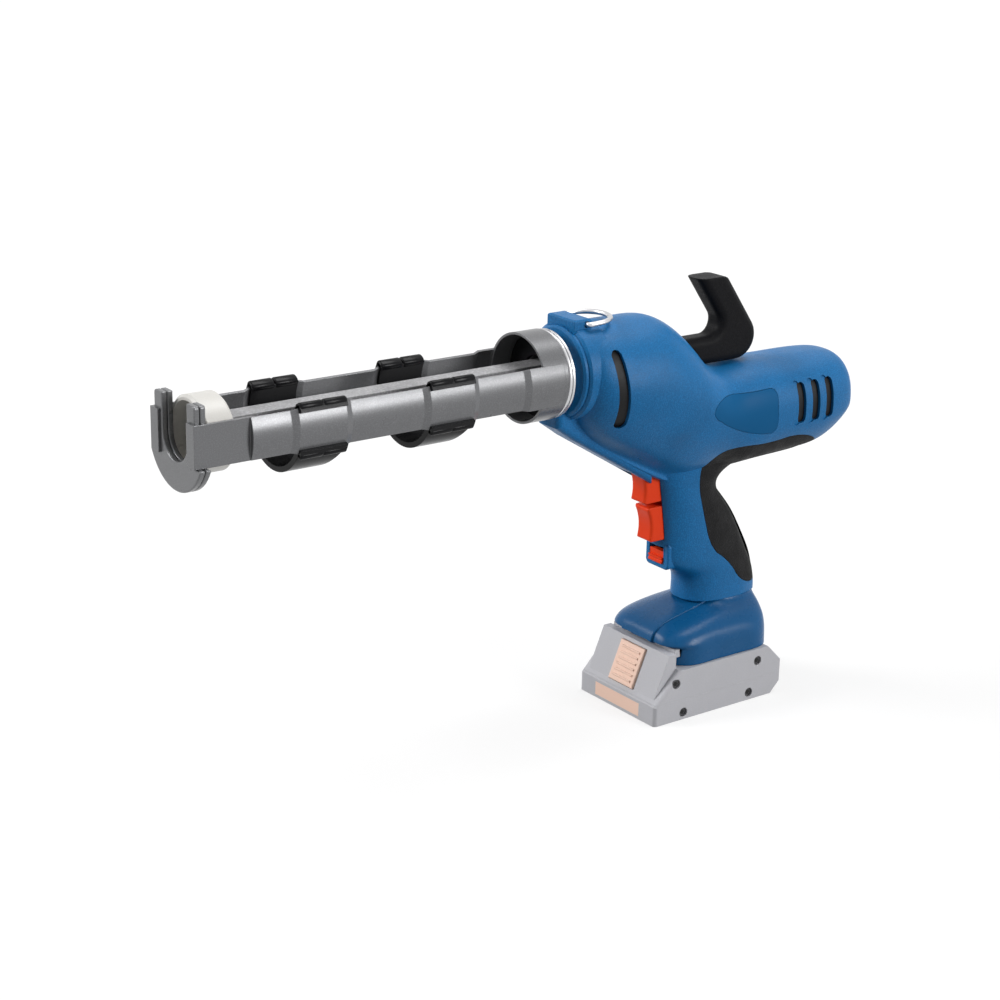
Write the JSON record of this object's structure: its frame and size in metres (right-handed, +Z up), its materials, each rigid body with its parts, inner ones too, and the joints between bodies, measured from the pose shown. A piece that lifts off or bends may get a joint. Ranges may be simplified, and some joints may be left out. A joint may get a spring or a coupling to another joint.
{
  "type": "cordless caulking tool",
  "caption": "Cordless caulking tool with an open turning cartridge holder, toothed push rod with hooked handle, pistol grip with triggers and a slide-off battery.",
  "frame": {"origin": "centre of the battery's flat base, which the tool stands on", "axes": "+X to the nozzle end along the barrel, +Y to the tool's left, +Z up"},
  "size_m": [0.497, 0.0762, 0.2796],
  "materials": {
    "blue_shell": "fine moulded texture",
    "blue_foot": "satin",
    "black_plastic": "satin",
    "label_blank": "satin",
    "soft_grip": "fine textured",
    "silver_paint": "satin metallic",
    "bright_steel": "turned",
    "rod_steel": "plated",
    "gear_steel": "machined",
    "ivory_plastic": "satin",
    "red_plastic": "satin",
    "pack_grey": "fine textured",
    "pack_salmon": "satin",
    "screw_steel": "dark plated",
    "bronze": "sintered",
    "alloy": "die cast",
    "board_green": "satin",
    "copper": "plated",
    "cell_wrap": "shrink sleeve"
  },
  "bodies": {
    "housing": {"housing_left": "blue_shell", "housing_right": "blue_shell", "label_plate": "label_blank", "grip_overmould": "soft_grip", "vent_baffles": "black_plastic", "housing_screws": "screw_steel", "neck_sleeve": "gear_steel", "neck_front_plate": "black_plastic", "retaining_ring": "bright_steel", "front_guide": "black_plastic", "rear_guide": "black_plastic", "gear_frame": "alloy", "shaft_bushes": "bronze", "gearbox": "gear_steel", "motor": "gear_steel", "motor_end": "black_plastic", "switch_module": "black_plastic", "strap_lug": "blue_shell", "battery_foot": "blue_foot", "terminal_block": "black_plastic", "terminal_blades": "copper", "control_board": "board_green"},
    "holder": {"collar_ring": "silver_paint", "rail_left": "silver_paint", "rail_right": "silver_paint", "front_plate": "silver_paint", "backing_plate": "silver_paint", "saddle_front": "black_plastic", "saddle_rear": "black_plastic"},
    "push_rod": {"piston_rod": "rod_steel", "piston": "ivory_plastic", "piston_screw": "screw_steel", "rod_handle": "black_plastic", "handle_pin": "screw_steel"},
    "pinion_shaft": {"drive_pinion": "gear_steel", "final_gear": "gear_steel"},
    "lay_shaft": {"layshaft": "gear_steel", "lay_gear": "gear_steel", "bevel_wheel": "gear_steel"},
    "drive_bevel": {"bevel_pinion": "gear_steel"},
    "release_lever": {"release_trigger": "red_plastic"},
    "switch_lever": {"switch_trigger": "red_plastic"},
    "lock": {"lock_slider": "red_plastic"},
    "dial": {"speed_dial": "blue_shell"},
    "strap_ring": {"d_ring": "bright_steel"},
    "battery": {"battery_base": "pack_grey", "battery_cover": "pack_grey", "battery_cells": "cell_wrap", "battery_bumper": "pack_salmon", "battery_screws": "screw_steel"},
    "pack_button": {"battery_button": "pack_salmon"}
  },
  "joints": [
    {"name": "holder_turn", "type": "hinge", "parent": "housing", "child": "holder", "pos_m": [0.138, 0, 0.234], "axis": [1, 0, 0], "continuous": true},
    {"name": "rod_slide", "type": "slide", "parent": "housing", "child": "push_rod", "axis": [1, 0, 0], "range_m": [-0.205, 0]},
    {"name": "pinion_turn", "type": "hinge", "parent": "housing", "child": "pinion_shaft", "pos_m": [0.0485, 0, 0.2169], "axis": [0, 1, 0], "range_deg": [-1130, 10]},
    {"name": "layshaft_turn", "type": "hinge", "parent": "housing", "child": "lay_shaft", "pos_m": [0.0485, 0, 0.1899], "axis": [0, 1, 0], "range_deg": [-16, 1790]},
    {"name": "bevel_turn", "type": "hinge", "parent": "housing", "child": "drive_bevel", "pos_m": [0.0485, 0, 0.1899], "axis": [1, 0, 0], "range_deg": [-2980, 25]},
    {"name": "release_pull", "type": "slide", "parent": "housing", "child": "release_lever", "axis": [-1, 0, 0], "range_m": [0, 0.005], "stiffness_N_per_m": 600, "springref_m": -0.002},
    {"name": "switch_pull", "type": "slide", "parent": "housing", "child": "switch_lever", "axis": [-1, 0, 0], "range_m": [0, 0.006], "stiffness_N_per_m": 700, "springref_m": -0.002},
    {"name": "lock_slide", "type": "slide", "parent": "housing", "child": "lock", "axis": [0, 0, 1], "range_m": [0, 0.003]},
    {"name": "dial_turn", "type": "hinge", "parent": "housing", "child": "dial", "pos_m": [-0.119, 0, 0.1899], "axis": [1, 0, 0], "range_deg": [0, 270]},
    {"name": "ring_swing", "type": "hinge", "parent": "housing", "child": "strap_ring", "pos_m": [0.1002, 0, 0.2642], "axis": [0, 1, 0], "range_deg": [0, 100]},
    {"name": "pack_slide", "type": "slide", "parent": "housing", "child": "battery", "axis": [1, 0, 0], "range_m": [0, 0.085]},
    {"name": "button_press", "type": "slide", "parent": "battery", "child": "pack_button", "axis": [-0.9253, 0, -0.3794], "range_m": [0, 0.0016], "stiffness_N_per_m": 900, "springref_m": -0.001}
  ],
  "couplings": [
    {"joint": "pinion_turn", "follows": "rod_slide", "rad_per_m": 95.238},
    {"joint": "layshaft_turn", "follows": "rod_slide", "rad_per_m": -149.66},
    {"joint": "bevel_turn", "follows": "rod_slide", "rad_per_m": 249.43}
  ]
}
